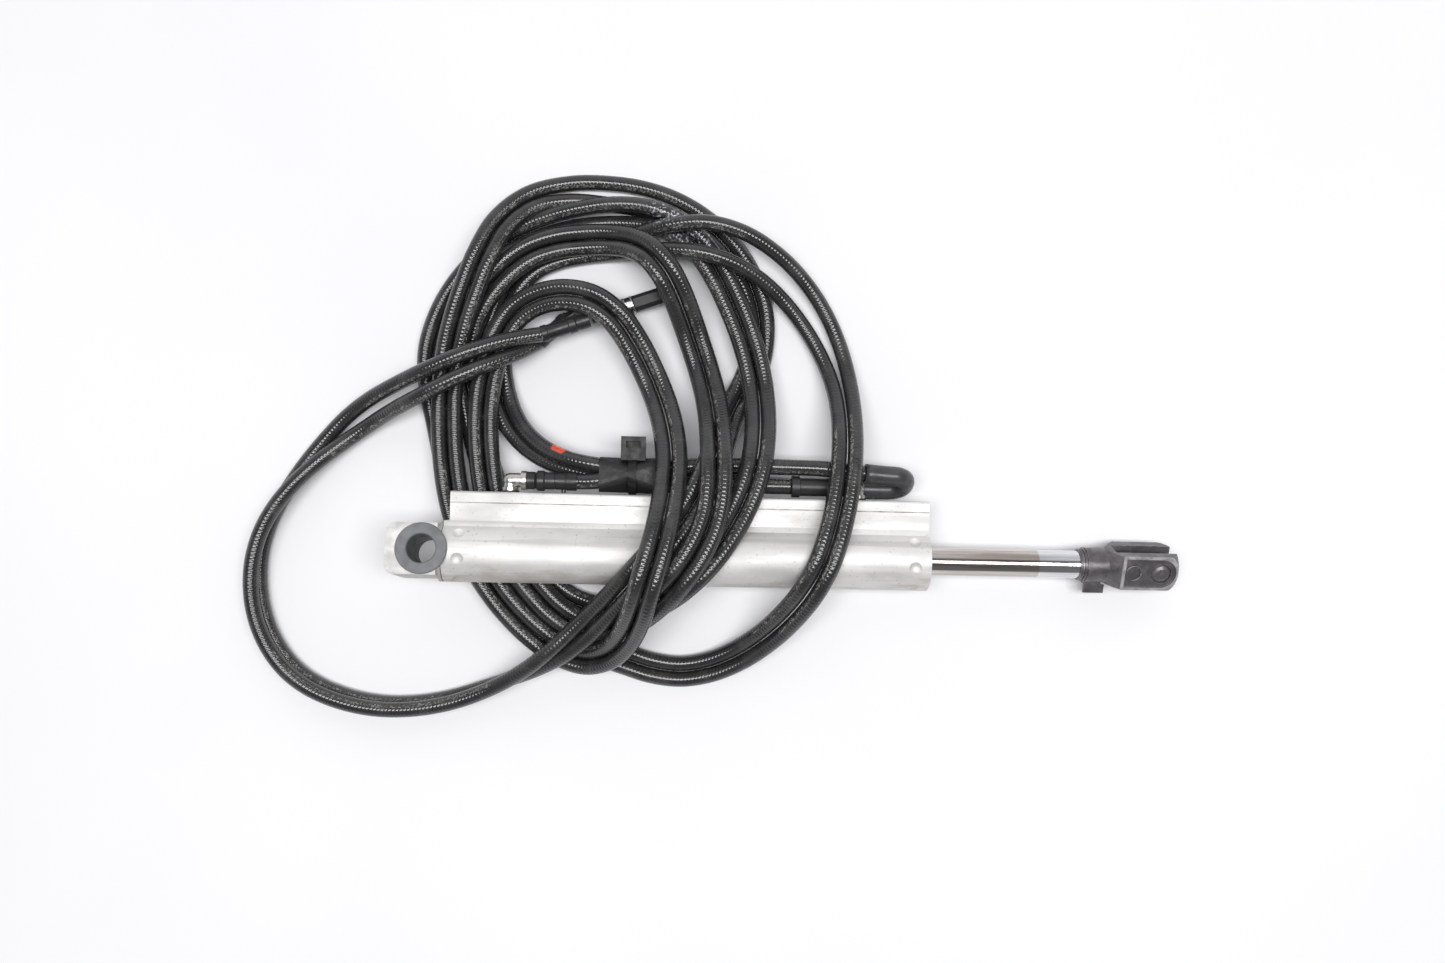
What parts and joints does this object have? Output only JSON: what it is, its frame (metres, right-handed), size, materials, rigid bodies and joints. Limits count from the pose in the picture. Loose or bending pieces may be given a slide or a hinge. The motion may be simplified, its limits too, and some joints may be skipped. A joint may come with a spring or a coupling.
{
  "type": "linear actuator",
  "caption": "Hydraulic cylinder with a cross eye, a clevis with a clipped pin and a side rail, whose two thin hoses lie coiled round it.",
  "frame": {"origin": "centre of the eye at the closed end, on the barrel's axis", "axes": "+X along the rod towards the clevis, +Y towards the side rail and its two ports, +Z away from the table the part lies on"},
  "size_m": [0.2699, 0.1605, 0.0412],
  "materials": {
    "extrusion": "satin, streaked along its length",
    "inner_aluminium": "machined",
    "bush": "fine matte",
    "seal_rubber": "matte",
    "rod_seal": "satin",
    "guide_ring": "matte",
    "spring_steel": "drawn wire",
    "steel_nut": "zinc plated",
    "chrome_rod": "ground and chromed",
    "dark_steel": "dark phosphated, low sheen",
    "elbow_zinc": "bright zinc",
    "black_fitting": "black zinc",
    "bend_plastic": "satin",
    "sleeve": "shrunk, matte",
    "tie_nylon": "moulded",
    "hose_cover": "ribbed black cover"
  },
  "bodies": {
    "barrel": {"end_cap": "extrusion", "eye_bush_upper": "bush", "eye_bush_lower": "bush", "cap_o_ring": "seal_rubber", "barrel": "extrusion", "duct_plug": "extrusion", "rod_gland": "inner_aluminium", "gland_o_ring": "seal_rubber", "rod_seal": "rod_seal", "rod_wiper": "seal_rubber", "gland_ring": "spring_steel", "port_elbow_a": "elbow_zinc", "port_elbow_b": "elbow_zinc", "port_seal_a": "seal_rubber", "port_seal_b": "seal_rubber", "hose_ferrule_a": "black_fitting", "hose_ferrule_b": "black_fitting", "ferrule_peg": "black_fitting", "return_bend": "bend_plastic", "hose_sleeve": "sleeve", "cable_tie": "tie_nylon", "hose_a_bridge": "hose_cover", "hose_a_near": "hose_cover", "hose_a_middle": "hose_cover", "hose_a_far": "hose_cover", "hose_b_near": "hose_cover", "hose_b_middle": "hose_cover", "hose_b_far": "hose_cover", "far_ferrule_a": "black_fitting", "far_ferrule_b": "black_fitting", "connector_a": "black_fitting", "connector_b": "black_fitting", "connector_clip_a": "spring_steel", "connector_clip_b": "spring_steel", "connector_o_ring_a": "seal_rubber", "connector_o_ring_b": "seal_rubber"},
    "seal_pack": {"piston_seal": "seal_rubber", "piston_guide_ring": "guide_ring"},
    "rod": {"piston": "inner_aluminium", "piston_nut": "steel_nut", "piston_rod": "chrome_rod", "rod_lock_ring": "dark_steel", "clevis": "dark_steel"},
    "clip_pin": {"clevis_pin": "dark_steel", "pin_clip": "dark_steel"}
  },
  "joints": [
    {"name": "rod_slide", "type": "slide", "parent": "barrel", "child": "seal_pack", "axis": [1, 0, 0], "range_m": [-0.036, 0.058]},
    {"name": "rod_spin", "type": "hinge", "parent": "seal_pack", "child": "rod", "pos_m": [0.063, 0, 0], "axis": [1, 0, 0], "continuous": true},
    {"name": "pin_pull", "type": "slide", "parent": "rod", "child": "clip_pin", "axis": [0, 0.3256, -0.9455], "range_m": [0, 0.014]}
  ]
}
